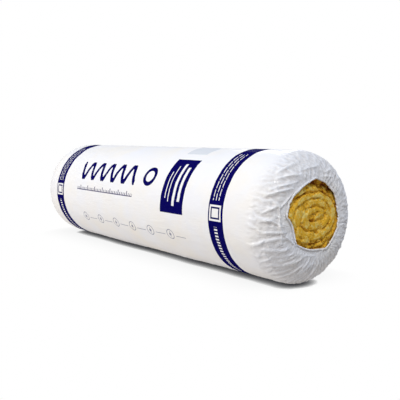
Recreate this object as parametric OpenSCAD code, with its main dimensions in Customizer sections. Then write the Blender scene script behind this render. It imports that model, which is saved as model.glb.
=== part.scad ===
// Glass-wool insulation roll, standing on its end: a wool mat wound on itself to the
// centre, held compressed in a sleeve of plastic film that is drawn in over both ends.
// The roll's axis is Z, the floor is at Z = 0, and the end with the torn mouth is on top.

/* [Roll] */
// Outside diameter of the wrapped roll
roll_d = 344; // [260:1:460]
// Width of the mat, which is the length of the roll
mat_w = 1200; // [600:10:1500]
// Radius of the rounded shoulder at each end
shoulder_r = 76; // [50:1:100]

/* [Turns of the mat] */
// Thickness of one turn of the compressed mat
turn_pitch = 17.2; // [12:0.2:30]
// Depth of the crease between two turns
crease_depth = 6; // [3:0.5:9]
// Width of the crease between two turns
crease_w = 7; // [4:0.5:10]
// Radius out to which the turns show on the ends
turns_r = 116; // [80:1:130]

/* [Film sleeve] */
// Wall of the film
film_t = 0.5; // [0.3:0.1:1.5]
// Room between the film's end wall and the mat's edge
end_gap = 6; // [5:0.5:15]
// Radius of the plain round mouth at the foot, inside the ring that the roll stands on
foot_mouth_r = 72; // [50:1:90]

/* [Hidden] */
$fn = 96;

roll_r = roll_d / 2;
half_len = mat_w / 2 + end_gap + film_t;
wool_colour = "goldenrod";
film_colour = "white";

// The torn mouth on top, as the film was drawn in: angle from +X towards +Y, and radius.
mouth_corners = [
    [185, 106], [138, 90], [95, 79], [70, 84], [24, 79],
    [-10, 72], [-50, 87], [-82, 85], [-103, 108], [-120, 110]
];
// Steps of the curve between two corners of the mouth
mouth_steps = 6;

function polar(p) = [p[1] * cos(p[0]), p[1] * sin(p[0])];

// Point of the smooth closed curve through the corners, at share t past corner i.
function mouth_point(i, t) =
    let (
        n = len(mouth_corners),
        a = polar(mouth_corners[(i + n - 1) % n]),
        b = polar(mouth_corners[i]),
        c = polar(mouth_corners[(i + 1) % n]),
        d = polar(mouth_corners[(i + 2) % n])
    )
    0.5 * (2 * b + (c - a) * t + (2 * a - 5 * b + 4 * c - d) * t * t
        + (3 * b - a - 3 * c + d) * t * t * t);

mouth_outline = [
    for (i = [0 : len(mouth_corners) - 1])
        for (k = [0 : mouth_steps - 1])
            mouth_point(i, k / mouth_steps)
];

// Half section of a round bar with rounded shoulders, for turning about Y.
module bar_section(r, half, corner) {
    translate([0, -half]) square([r - corner, 2 * half]);
    translate([0, corner - half]) square([r, 2 * (half - corner)]);
    for (end = [-1, 1])
        translate([r - corner, end * (half - corner)]) circle(corner);
}

// Section of the wool inside the film, cut off square at the edges of the mat.
module wool_section() {
    intersection() {
        bar_section(roll_r - film_t, half_len - film_t, shoulder_r - film_t);
        translate([0, -mat_w / 2]) square([roll_r, mat_w]);
    }
}

// Half turn of the crease between two turns of the mat, at radius r.
module half_crease(r) {
    rotate_extrude(angle = 180)
        translate([r, 0])
            polygon([[-crease_w / 2, crease_depth], [0, -crease_depth], [crease_w / 2, crease_depth]]);
}

// Crease that winds outwards, drawn as half circles about two centres in turn.
module spiral_crease() {
    for (k = [0 : floor(2 * turns_r / turn_pitch) - 2]) {
        r = (k + 1.5) * turn_pitch / 2;
        side = k % 2 == 0 ? 1 : -1;
        translate([side * turn_pitch / 4, 0, mat_w / 2])
            rotate([0, 0, side > 0 ? 0 : 180])
                half_crease(r);
    }
}

// Lifts what is drawn about the middle of the roll, so that its foot is on the floor.
module stand() {
    translate([0, 0, half_len]) children();
}

module wool_roll() {
    color(wool_colour) stand()
        difference() {
            rotate_extrude() wool_section();
            for (end = [0, 1]) mirror([0, 0, end]) spiral_crease();
        }
}

module film_sleeve() {
    color(film_colour) stand()
        difference() {
            rotate_extrude() intersection() {
                bar_section(roll_r, half_len, shoulder_r);
                translate([0, -half_len]) square([roll_r, 2 * half_len]);
            }
            rotate_extrude() intersection() {
                bar_section(roll_r - film_t, half_len - film_t, shoulder_r - film_t);
                translate([0, -half_len]) square([roll_r, 2 * half_len]);
            }
            linear_extrude(half_len + film_t) polygon(mouth_outline);
            translate([0, 0, -half_len - film_t]) cylinder(h = half_len, r = foot_mouth_r);
        }
}

wool_roll();
film_sleeve();
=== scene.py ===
"""Glass-wool insulation roll: the wound wool and the printed film sleeve drawn in over its ends.

The roll stands on its foot in the shared frame. The photograph shows it lying, so the camera,
the lights and the white ground are placed round it as round a lying roll.
"""

import logging
import math
import operator
from collections.abc import Iterable
from dataclasses import dataclass, field
from enum import Enum
from functools import reduce
from typing import Any

import bpy
import numpy as np
from mathutils import Matrix, Vector

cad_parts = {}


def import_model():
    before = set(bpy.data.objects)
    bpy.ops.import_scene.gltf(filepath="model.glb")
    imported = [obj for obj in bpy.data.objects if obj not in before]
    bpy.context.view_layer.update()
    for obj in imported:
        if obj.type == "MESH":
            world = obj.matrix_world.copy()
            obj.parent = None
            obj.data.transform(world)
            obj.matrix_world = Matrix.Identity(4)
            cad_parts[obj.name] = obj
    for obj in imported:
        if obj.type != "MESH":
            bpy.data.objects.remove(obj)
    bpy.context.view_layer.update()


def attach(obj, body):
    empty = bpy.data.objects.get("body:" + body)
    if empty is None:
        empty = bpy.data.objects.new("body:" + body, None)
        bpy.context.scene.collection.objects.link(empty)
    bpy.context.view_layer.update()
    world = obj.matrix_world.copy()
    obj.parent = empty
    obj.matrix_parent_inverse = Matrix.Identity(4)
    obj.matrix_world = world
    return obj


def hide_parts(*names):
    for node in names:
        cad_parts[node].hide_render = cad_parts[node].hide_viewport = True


LOG = logging.getLogger("insulation_roll")
MM = 0.001

Place = tuple[float, float]
Point = tuple[float, float, float]
Edges = tuple[float, float, float, float]
Colour = tuple[float, float, float, float]

PLAIN_WHITE: Colour = (1.0, 1.0, 1.0, 1.0)


class End(Enum):
    """The two ends of the roll, each with the sign of its direction along the axis."""

    TOP = 1
    FOOT = -1


def ink(red: int, green: int, blue: int) -> Colour:
    """Turns a printed colour into the linear values of a shader.

    Args:
        red: Red from 0 to 255 as seen on a screen.
        green: Green from 0 to 255.
        blue: Blue from 0 to 255.

    Returns:
        The linear colour with full alpha.
    """
    linear = []
    for value in (red / 255, green / 255, blue / 255):
        linear.append(value / 12.92 if value <= 0.04045 else ((value + 0.055) / 1.055) ** 2.4)
    return (linear[0], linear[1], linear[2], 1.0)


def ease(share: np.ndarray) -> np.ndarray:
    """Gives the height of a smooth step from 0 to 1 that is flat at both ends."""
    held = np.clip(share, 0.0, 1.0)
    return held * held * (3.0 - 2.0 * held)


def column_angles(columns: int) -> np.ndarray:
    """Gives the angle of each column round the roll, in radians from the front."""
    return np.arange(columns) / columns * 2 * np.pi - np.pi


def round_share(angle: np.ndarray) -> np.ndarray:
    """Turns an angle round the roll, in radians, into a share of the whole turn."""
    return angle / (2 * np.pi) + 0.5


def blur(values: np.ndarray, side: float) -> np.ndarray:
    """Mixes each value with the given share of both its neighbours round the roll."""
    return side * (np.roll(values, 1, -1) + np.roll(values, -1, -1)) + (1.0 - 2.0 * side) * values


def blur_along(values: np.ndarray, side: float) -> np.ndarray:
    """Mixes each value with its neighbours along the roll, apart from the first and the last row.

    Args:
        values: Values, row by row.
        side: Share of each neighbour.

    Returns:
        The mixed values.
    """
    mixed = values.copy()
    mixed[1:-1] = side * (values[:-2] + values[2:]) + (1.0 - 2.0 * side) * values[1:-1]
    return mixed


@dataclass
class Crumple:
    """Smooth seeded noise over a surface that closes on itself round the roll.

    Attributes:
        seed: Number that fixes the pattern.
        gain: Factor that brings the noise to about -1 to 1.
        span: Cells across a flat plane, many more than it shows.
        twist: Turn of a flat pattern for each seed, in radians.
    """

    seed: int
    gain: float = 1.5
    span: int = 4096
    twist: float = 2.4

    def sheet(self, around: np.ndarray, along: np.ndarray, cells: int) -> np.ndarray:
        """Gives one layer of noise between about -1 and 1.

        Args:
            around: Place round the roll from 0 to 1, where 1 meets 0.
            along: Place along the roll, in cells.
            cells: Number of cells round the roll.

        Returns:
            The noise at each place.
        """
        rows = int(np.ceil(along.max() - along.min())) + 3
        turn = np.random.default_rng(self.seed).uniform(0.0, 2.0 * np.pi, (rows, cells))
        x = (around % 1.0) * cells
        y = along - np.floor(along.min())
        column, row = np.floor(x).astype(int), np.floor(y).astype(int)
        fx, fy = x - column, y - row

        def corner(dc: int, dr: int) -> np.ndarray:
            """Pull of one corner of the cell."""
            angle = turn[row + dr, (column + dc) % cells]
            return np.cos(angle) * (fx - dc) + np.sin(angle) * (fy - dr)

        wx = fx * fx * fx * (fx * (fx * 6.0 - 15.0) + 10.0)
        wy = fy * fy * fy * (fy * (fy * 6.0 - 15.0) + 10.0)
        low = corner(0, 0) * (1.0 - wx) + corner(1, 0) * wx
        high = corner(0, 1) * (1.0 - wx) + corner(1, 1) * wx
        return self.gain * (low * (1.0 - wy) + high * wy)

    def plane(self, points: np.ndarray, cell: float) -> np.ndarray:
        """Gives noise on a flat plane.

        Args:
            points: Places on the plane, one row each.
            cell: Size of a cell, in the units of the places.

        Returns:
            The noise at each place, between about -1 and 1.
        """
        cosine, sine = math.cos(self.twist * self.seed), math.sin(self.twist * self.seed)
        across = points[:, 0] * cosine - points[:, 1] * sine
        up = points[:, 0] * sine + points[:, 1] * cosine
        return self.sheet(across / cell / self.span + 0.5, up / cell, self.span)


@dataclass(frozen=True)
class Fold:
    """One fold of the film, on the end of the roll laid flat, in millimetres.

    Attributes:
        start: Where the fold starts, right and up as seen from outside the top end.
        end: Where it runs out.
        height: How far it stands out, or sinks where negative.
        width: Half width of the fold.
        lean: Share by which one flank is wider than the other.
        neck: Share of the width that the fold has at its start.
        fade: Power that sets how soon the fold reaches its height.
        crisp: Power that sets how sharp its crest is.
    """

    start: Place
    end: Place
    height: float
    width: float
    lean: float = 0.0
    neck: float = 0.6
    fade: float = 0.7
    crisp: float = 1.15

    def lift(self, places: np.ndarray) -> np.ndarray:
        """Gives how far the fold lifts the film.

        Args:
            places: Places on the end laid flat, one row each.

        Returns:
            The lift at each place, in millimetres.
        """
        run = np.subtract(self.end, self.start)
        length = float(np.hypot(*run))
        along = run / length
        off = places - np.asarray(self.start)
        share = np.clip(off @ along / length, 0.0, 1.0)
        side = off[:, 1] * along[0] - off[:, 0] * along[1]
        flank = self.width * (1.0 + self.lean * np.sign(side))
        width = flank * (self.neck + (1.0 - self.neck) * share)
        taper = np.sin(np.pi * share) ** self.fade
        return self.height * taper * np.exp(-((np.abs(side) / width) ** self.crisp))


@dataclass(frozen=True)
class RollSizes:
    """Sizes that the wool and the film share, in millimetres.

    Attributes:
        radius: Outside radius of the wrapped roll.
        half: Half the length over the film.
        shoulder: Radius of the rounded shoulder.
    """

    radius: float = 172.0
    half: float = 606.5
    shoulder: float = 76.0

    @property
    def flat(self) -> float:
        """Radius of the flat middle of each end."""
        return self.radius - self.shoulder

    @property
    def bend(self) -> float:
        """Length of the shoulder along its curve."""
        return self.shoulder * math.pi / 2

    @property
    def straight(self) -> float:
        """Half the length between the shoulders."""
        return self.half - self.shoulder

    def profile(self, path: np.ndarray) -> tuple[np.ndarray, np.ndarray, np.ndarray, np.ndarray]:
        """Follows the outline from the start of the shoulder towards the middle of the end.

        Args:
            path: Length along the outline, in millimetres.

        Returns:
            Radius, height above the middle of the roll, and the outward direction as its
            parts across and along the axis.
        """
        turn = np.clip(path / self.shoulder, 0.0, np.pi / 2)
        over = np.maximum(path - self.bend, 0.0)
        radius = self.flat + self.shoulder * np.cos(turn) - over
        height = self.straight + self.shoulder * np.sin(turn) + np.minimum(path, 0.0)
        return radius, height, np.cos(turn), np.sin(turn)

    def path_to(self, radius: np.ndarray) -> np.ndarray:
        """Gives the length along the outline at which it has the given radius."""
        turn = np.arccos(np.clip((radius - self.flat) / self.shoulder, 0.0, 1.0))
        return self.shoulder * turn + np.maximum(self.flat - radius, 0.0)


def grid_piece(name: str, columns: int, rows: int) -> tuple[bpy.types.Object, np.ndarray, np.ndarray]:
    """Adds a flat grid as the start of a soft piece.

    Args:
        name: Name of the piece.
        columns: Number of faces across.
        rows: Number of faces along.

    Returns:
        The object, and the column and row of each of its vertices.
    """
    bpy.ops.object.select_all(action="DESELECT")
    bpy.ops.mesh.primitive_grid_add(x_subdivisions=columns, y_subdivisions=rows, size=1.0)
    piece = bpy.context.object
    piece.name = name
    piece.data.name = name
    flat = np.empty(len(piece.data.vertices) * 3)
    piece.data.vertices.foreach_get("co", flat)
    flat = flat.reshape(-1, 3)
    column = np.rint((flat[:, 0] + 0.5) * columns).astype(int)
    row = np.rint((flat[:, 1] + 0.5) * rows).astype(int)
    return piece, column, row


def close_piece(piece: bpy.types.Object, join: float = 2e-6) -> None:
    """Joins the seam and the poles of a rolled-up grid and turns its faces outwards.

    Args:
        piece: The rolled-up grid.
        join: Distance under which vertices are joined, in metres, or 0 where the seam stays open.
    """
    bpy.ops.object.select_all(action="DESELECT")
    bpy.context.view_layer.objects.active = piece
    piece.select_set(True)
    bpy.ops.object.mode_set(mode="EDIT")
    bpy.ops.mesh.select_all(action="SELECT")
    if join:
        bpy.ops.mesh.remove_doubles(threshold=join)
    bpy.ops.mesh.select_all(action="SELECT")
    bpy.ops.mesh.normals_make_consistent(inside=False)
    bpy.ops.object.mode_set(mode="OBJECT")
    bpy.ops.object.shade_smooth()


class Wire:
    """A value in a node tree, which takes part in Python arithmetic."""

    def __init__(self, desk: "NodeDesk", socket: bpy.types.NodeSocket) -> None:
        """Keeps the socket and the desk that its nodes go on."""
        self.desk = desk
        self.socket = socket

    def _math(self, operation: str, *values: Any) -> "Wire":
        """Adds a Math node that works on the given values."""
        return self.desk.node("ShaderNodeMath", {"operation": operation}, *values)

    def __add__(self, other: Any) -> "Wire":
        """Sum of two values."""
        return self._math("ADD", self, other)

    __radd__ = __add__

    def __sub__(self, other: Any) -> "Wire":
        """Difference of two values."""
        return self._math("SUBTRACT", self, other)

    def __rsub__(self, other: Any) -> "Wire":
        """Difference with this value taken away."""
        return self._math("SUBTRACT", other, self)

    def __mul__(self, other: Any) -> "Wire":
        """Product of two values."""
        return self._math("MULTIPLY", self, other)

    __rmul__ = __mul__

    def __truediv__(self, other: Any) -> "Wire":
        """Quotient of two values."""
        return self._math("DIVIDE", self, other)

    def __rtruediv__(self, other: Any) -> "Wire":
        """Quotient with this value below."""
        return self._math("DIVIDE", other, self)

    def __pow__(self, other: Any) -> "Wire":
        """Power of the value."""
        return self._math("POWER", self, other)

    def __abs__(self) -> "Wire":
        """Size of the value without its sign."""
        return self._math("ABSOLUTE", self)

    def __or__(self, other: Any) -> "Wire":
        """The larger of two masks."""
        return self._math("MAXIMUM", self, other)

    def __and__(self, other: Any) -> "Wire":
        """The smaller of two masks."""
        return self._math("MINIMUM", self, other)

    def sine(self) -> "Wire":
        """Sine of the value in radians."""
        return self._math("SINE", self)

    def held(self) -> "Wire":
        """The value held between 0 and 1."""
        return self.desk.node("ShaderNodeClamp", {}, self, 0.0, 1.0)

    def repeat(self, length: float) -> "Wire":
        """What is left of the value past whole lengths, always positive."""
        return self._math("FLOORED_MODULO", self, length)

    def under(self, limit: Any, soft: float) -> "Wire":
        """Mask that is 1 well under the limit and 0 well over it.

        Args:
            limit: Value at the edge of the mask.
            soft: Half width of the edge.

        Returns:
            The mask.
        """
        return ((limit - self) / (2.0 * soft) + 0.5).held()

    def within(self, low: float, high: float, soft: float) -> "Wire":
        """Mask that is 1 between two values.

        Args:
            low: Lower edge.
            high: Upper edge.
            soft: Half width of the edges.

        Returns:
            The mask.
        """
        return abs(self - (low + high) / 2).under((high - low) / 2, soft)

    def stripes(self, spacing: Place, soft: float) -> "Wire":
        """Mask of stripes, given by the step from one to the next and by their half width."""
        step, half = spacing
        return abs(self.repeat(step) - step / 2).under(half, soft)


def any_of(masks: Iterable[Wire]) -> Wire:
    """The largest of several masks."""
    return reduce(operator.or_, masks)


class NodeDesk:
    """The node tree of one material or of the world, with one method for every kind of node."""

    def __init__(self, owner: bpy.types.Material | bpy.types.World) -> None:
        """Clears the tree and keeps it.

        Args:
            owner: The material or the world that the tree belongs to.
        """
        owner.use_nodes = True
        self.tree = owner.node_tree
        self.tree.nodes.clear()

    def node(self, kind: str, settings: dict[str, Any], *values: Any, out: Any = 0, **named: Any) -> Wire:
        """Adds a node.

        Args:
            kind: Type of the node.
            settings: Settings of the node, set before its sockets. The stops of a ramp are
                given as "stops", a list of places and colours.
            *values: Values or wires for its inputs in order, None where one is left alone.
            out: Number or name of the output that is returned.
            **named: Values or wires for inputs by name, with _ for a space.

        Returns:
            The wire from the node's output.
        """
        made = self.tree.nodes.new(kind)
        for key, value in settings.items():
            if key == "stops":
                ramp = made.color_ramp
                while len(ramp.elements) < len(value):
                    ramp.elements.new(0.5)
                for element, (place, colour) in zip(ramp.elements, value):
                    element.position = place
                    element.color = colour
            else:
                setattr(made, key, value)
        inputs = list(enumerate(values)) + [(key.replace("_", " "), value) for key, value in named.items()]
        for key, value in inputs:
            if isinstance(value, Wire):
                self.tree.links.new(value.socket, made.inputs[key])
            elif value is not None:
                made.inputs[key].default_value = value
        return Wire(self, made.outputs[out])

    def mix(self, share: Any, low: Any, high: Any) -> Wire:
        """Mixes two colours.

        Args:
            share: How much of the second colour is taken.
            low: First colour.
            high: Second colour.

        Returns:
            The mixed colour.
        """
        other_kinds = [None] * 5
        return self.node("ShaderNodeMix", {"data_type": "RGBA"}, share, *other_kinds, low, high, out=2)

    def noise(self, place: Wire, scale: float, detail: float = 3.0, rough: float = 0.55) -> Wire:
        """Adds a noise texture.

        Args:
            place: Coordinates.
            scale: Scale of the noise.
            detail: Number of finer layers.
            rough: Strength of the finer layers.

        Returns:
            The noise, from 0 to 1.
        """
        kind = "ShaderNodeTexNoise"
        return self.node(kind, {}, Vector=place, Scale=scale, Detail=detail, Roughness=rough)

    def attribute(self, name: str, out: str = "Fac") -> Wire:
        """Reads a value that the mesh carries at each point."""
        return self.node("ShaderNodeAttribute", {"attribute_name": name}, out=out)

    def white_rays(self) -> Wire:
        """Finds the rays that see plain white: those of the camera, of gloss and through glass.

        Returns:
            The mask of those rays.
        """
        kinds = ("Is Camera Ray", "Is Glossy Ray", "Is Transmission Ray")
        return any_of([self.node("ShaderNodeLightPath", {}, out=kind) for kind in kinds])

    def close(self, shader: Wire, kind: str = "ShaderNodeOutputMaterial") -> None:
        """Joins the shader to the output of the tree."""
        output = self.tree.nodes.new(kind)
        self.tree.links.new(shader.socket, output.inputs["Surface"])


@dataclass(frozen=True)
class FilmPrint:
    """Place of the print on the film.

    Places along the roll are in millimetres from its middle, and places round it in degrees
    from the front, upwards as the roll lies.

    Attributes:
        navy: Ink of the bands, the panel and the symbols.
        grey: Ink of the pale panel.
        line: Ink of the fine line work.
        bands: Edges of the bands along the roll.
        panel: Edges of the navy panel, along and round.
        bars: Edges of the white bars in that panel, along and round.
        squares: Outline, inner outline and middle of the framed square on a band, each by its
            distances from the two edges of the band and its edges round.
        rules: Starts of the fine lines on the upper half of a band, from its first edge.
        rule_line: Width of those lines.
        rule_span: Edges of those lines round.
        rule_dashes: Step and half length of the dashes that break those lines.
        rule_slant: Share of the way along by which the breaks slant.
        ladder: Edges of the row of short bars on the lower half of a band, along from its first
            edge and round.
        rungs: Step and half width of those short bars.
        pale: Edges of the pale panel, along and round.
        hatch: Edges of the insulation hatch, along and round.
        hatch_waves: Number of its waves.
        hatch_line: Half width of its line.
        hatch_margin: Room for the line at the edges round.
        ring: Middle of the ring along and round, its radius and the half width of its line.
        scale: Edges of the cutting scale, along and round.
        scale_line: Width of its base line.
        short_ticks: Step and half width of its short ticks.
        short_share: Height of the short ticks as a share of the scale's.
        long_ticks: Step and half width of its long ticks.
        signs: First place, spacing and count of the small signs along the roll, and their place
            round it.
        sign_ring: Radius of a sign's ring and half width of its line.
        sign_dot: Radius of its dot.
        sign_spoke: Half length and half width of its spoke.
        sign_dash: Half length and half width of the dashes between the signs.
        sign_drop: How far those dashes lie under the middle of the signs.
        sign_ends: How far the row goes on before the first sign and after the last.
        soft: Half width of an ink edge.
    """

    navy: Colour = ink(9, 6, 88)
    grey: Colour = ink(222, 225, 230)
    line: Colour = ink(86, 92, 130)
    bands: tuple[Place, ...] = ((-492.0, -436.0), (388.0, 444.5))
    panel: Edges = (174.0, 278.0, -2.7, 54.4)
    bars: tuple[Edges, ...] = (
        (250.0, 261.0, 9.0, 44.0),
        (227.0, 238.0, 4.5, 48.0),
        (206.5, 210.0, 8.0, 45.0),
        (192.0, 195.5, 11.0, 38.0),
    )
    squares: tuple[Edges, Edges, Edges] = (
        (4.5, 8.0, -3.0, 11.0),
        (9.5, 13.0, -1.3, 9.3),
        (14.0, 17.5, 0.2, 7.8),
    )
    rules: tuple[float, ...] = (13.0, 24.0, 35.0)
    rule_line: float = 2.6
    rule_span: Place = (15.0, 68.0)
    rule_dashes: Place = (23.0, 9.6)
    rule_slant: float = 0.9
    ladder: Edges = (21.0, 33.0, -62.0, -8.0)
    rungs: Place = (9.0, 2.2)
    pale: Edges = (178.0, 270.0, 64.0, 86.0)
    hatch: Edges = (-334.0, 21.0, 19.5, 42.0)
    hatch_waves: float = 5.5
    hatch_line: float = 7.6
    hatch_margin: float = 8.0
    ring: tuple[float, float, float, float] = (92.5, 30.7, 25.0, 6.5)
    scale: Edges = (-333.0, 22.0, 7.0, 12.5)
    scale_line: float = 2.6
    short_ticks: Place = (10.0, 1.7)
    short_share: float = 0.62
    long_ticks: Place = (50.0, 1.9)
    signs: tuple[float, float, int, float] = (-294.0, 99.2, 6, -25.0)
    sign_ring: Place = (15.5, 1.1)
    sign_dot: float = 4.6
    sign_spoke: Place = (10.0, 0.9)
    sign_dash: Place = (24.0, 0.9)
    sign_drop: float = 3.0
    sign_ends: Place = (22.0, 70.0)
    soft: float = 0.35


@dataclass(frozen=True)
class FilmFinish:
    """White polyethylene film with navy print.

    Attributes:
        white: Colour of the bare film.
        warm: Colour of its warmer patches.
        valley: Colour in the valleys between the gathers: painted shade, mixed with the wool's tint through
            the film where it lies on the wool.
        gloss: Roughness of the film.
        radius: Radius of the roll, which turns degrees into millimetres.
        span: Length along the film that one unit of its map stands for, in millimetres.
        layout: Place of the print.
    """

    white: Colour = ink(243, 243, 246)
    warm: Colour = ink(246, 242, 236)
    valley: Colour = ink(220, 215, 212)
    gloss: float = 0.34
    radius: float = 172.0
    span: float = 1500.0
    layout: FilmPrint = FilmPrint()

    def box(self, along: Wire, around: Wire, edges: Edges) -> Wire:
        """Mask of a printed rectangle.

        Args:
            along: Place along the roll.
            around: Place round the roll, in millimetres.
            edges: Edges along, in millimetres, and round, in degrees.

        Returns:
            The mask.
        """
        arc = math.radians(self.radius)
        soft = self.layout.soft
        return along.within(edges[0], edges[1], soft) * around.within(edges[2] * arc, edges[3] * arc, soft)

    def hatch_mask(self, along: Wire, around: Wire) -> Wire:
        """Mask of the looped hatch that stands for insulation on drawings.

        Args:
            along: Place along the roll.
            around: Place round the roll, in millimetres.

        Returns:
            The mask.
        """
        layout, soft = self.layout, self.layout.soft
        low, high, under, over = layout.hatch
        arc = math.radians(self.radius)
        middle, reach = (under + over) / 2 * arc, (over - under) / 2 * arc - layout.hatch_margin
        wave = 2 * math.pi * layout.hatch_waves / (high - low)
        phase = (along - low) * wave + math.pi / 2
        slope = (phase + math.pi / 2).sine() * (reach * wave)
        off = abs(around - middle - phase.sine() * reach) / ((slope * slope + 1.0) ** 0.5)
        return off.under(layout.hatch_line, soft) * along.within(low, high, soft)

    def scale_mask(self, along: Wire, around: Wire) -> Wire:
        """Mask of the cutting scale: a rule with short and long ticks.

        Args:
            along: Place along the roll.
            around: Place round the roll, in millimetres.

        Returns:
            The mask.
        """
        layout, soft = self.layout, self.layout.soft
        low, high, under, over = layout.scale
        arc = math.radians(self.radius)
        short_over = under + layout.short_share * (over - under)
        short = (along - low).stripes(layout.short_ticks, soft)
        short = short * around.within(under * arc, short_over * arc, soft)
        tall = (along - low).stripes(layout.long_ticks, soft)
        tall = tall * around.within(under * arc, over * arc, soft)
        rule = around.within(under * arc, under * arc + layout.scale_line, soft)
        return (rule | short | tall) * along.within(low, high, soft)

    def sign_mask(self, along: Wire, around: Wire) -> Wire:
        """Mask of the row of small rings joined by dashes.

        Args:
            along: Place along the roll.
            around: Place round the roll, in millimetres.

        Returns:
            The mask.
        """
        layout, soft = self.layout, self.layout.soft
        first, step, count, place = layout.signs
        across = (along - (first - step / 2)).repeat(step) - step / 2
        up = around - place * math.radians(self.radius)
        away = (across * across + up * up) ** 0.5
        radius, line = layout.sign_ring
        ring = abs(away - radius).under(line, soft)
        dot = away.under(layout.sign_dot, soft)
        reach, line = layout.sign_dash
        dash = abs(abs(across) - step / 2).under(reach, soft) * abs(up + layout.sign_drop).under(line, soft)
        reach, line = layout.sign_spoke
        spoke = abs(across).under(line, soft) * abs(up).under(reach, soft)
        before, after = layout.sign_ends
        row = along.within(first - before, first + step * (count - 1) + after, soft)
        return (ring | dot | dash | spoke) * row

    def knockouts(self, along: Wire, around: Wire) -> Wire:
        """Mask of what is left white in the navy bands and the panel.

        Args:
            along: Place along the roll.
            around: Place round the roll, in millimetres.

        Returns:
            The mask.
        """
        layout, soft = self.layout, self.layout.soft
        arc = math.radians(self.radius)
        found = [self.box(along, around, bar) for bar in layout.bars]
        upper = around.within(layout.rule_span[0] * arc, layout.rule_span[1] * arc, soft)
        dashes = (around + along * layout.rule_slant).stripes(layout.rule_dashes, soft)
        rungs = around.stripes(layout.rungs, soft)
        for low, high in layout.bands:
            outline, hole, middle = (
                self.box(along, around, (low + first, high - last, under, over))
                for first, last, under, over in layout.squares
            )
            starts = [low + start for start in layout.rules]
            rules = any_of([along.within(start, start + layout.rule_line, soft) for start in starts])
            first, last, under, over = layout.ladder
            ladder = self.box(along, around, (low + first, low + last, under, over))
            found += [outline - hole, middle, rules * upper * dashes, ladder * rungs]
        return any_of(found)

    def ring_mask(self, along: Wire, around: Wire) -> Wire:
        """Mask of the single ring.

        Args:
            along: Place along the roll.
            around: Place round the roll, in millimetres.

        Returns:
            The mask.
        """
        middle, place, radius, line = self.layout.ring
        up = around - math.radians(place) * self.radius
        away = ((along - middle) ** 2.0 + up**2.0) ** 0.5
        return abs(away - radius).under(line, self.layout.soft)

    def material(self) -> bpy.types.Material:
        """Builds the film's material.

        Returns:
            The material.
        """
        made = bpy.data.materials.new("printed_film")
        desk = NodeDesk(made)
        layout = self.layout
        place = desk.node("ShaderNodeUVMap", {"uv_map": "film_map"})
        across = desk.node("ShaderNodeSeparateXYZ", {}, place)
        along = (desk.node("ShaderNodeSeparateXYZ", {}, place, out=1) - 0.5) * self.span
        around = (across - 0.5) * (2.0 * math.pi * self.radius)
        solid = desk.node("ShaderNodeTexCoord", {}, out="Object")
        bands = any_of([along.within(low, high, layout.soft) for low, high in layout.bands])
        blocks = (bands | self.box(along, around, layout.panel)) & (1.0 - self.knockouts(along, around))
        marks = [mask(along, around) for mask in (self.hatch_mask, self.ring_mask, self.scale_mask)]
        dark = any_of([blocks, *marks])
        cloud = desk.noise(solid, 9.0, 3.0)
        bare = desk.mix(((cloud - 0.4) * 3.0).held(), self.white, self.warm)
        # Painted shade in the valleys between the gathers, mixed with the wool's tint where the film lies
        # on it.
        bare = desk.mix(desk.attribute("valley"), bare, self.valley)
        shade = desk.mix(self.box(along, around, layout.pale), bare, layout.grey)
        shade = desk.mix(self.sign_mask(along, around) * 0.8, shade, layout.line)
        worn = desk.noise(solid, 240.0, 2.0)
        shade = desk.mix(dark * (0.985 + worn * 0.03), shade, layout.navy)
        stretched = desk.node("ShaderNodeCombineXYZ", {}, around * 0.02, along * 0.006, 0.0)
        crinkle = desk.noise(stretched, 9.0, 4.0, 0.6)
        gather = desk.attribute("gather")
        fine = desk.noise(solid, 130.0, 3.0, 0.6)
        facet = desk.node("ShaderNodeTexVoronoi", {}, Vector=solid, Scale=52.0, Detail=2.0, Roughness=0.6)
        height = crinkle * (0.45 + gather * 0.3) + fine * (0.1 + gather * 0.2) + facet * gather * 0.8
        bump = desk.node("ShaderNodeBump", {}, Strength=0.45, Distance=0.005, Height=height)
        surface = desk.node(
            "ShaderNodeBsdfPrincipled",
            {},
            Base_Color=shade,
            Roughness=self.gloss + cloud * 0.12,
            Normal=bump,
            Specular_IOR_Level=0.0,
            Coat_Weight=(1.0 - dark * 0.9) * (0.06 + gather * 0.2),
            Coat_Roughness=0.14,
        )
        desk.close(surface)
        return made


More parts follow.
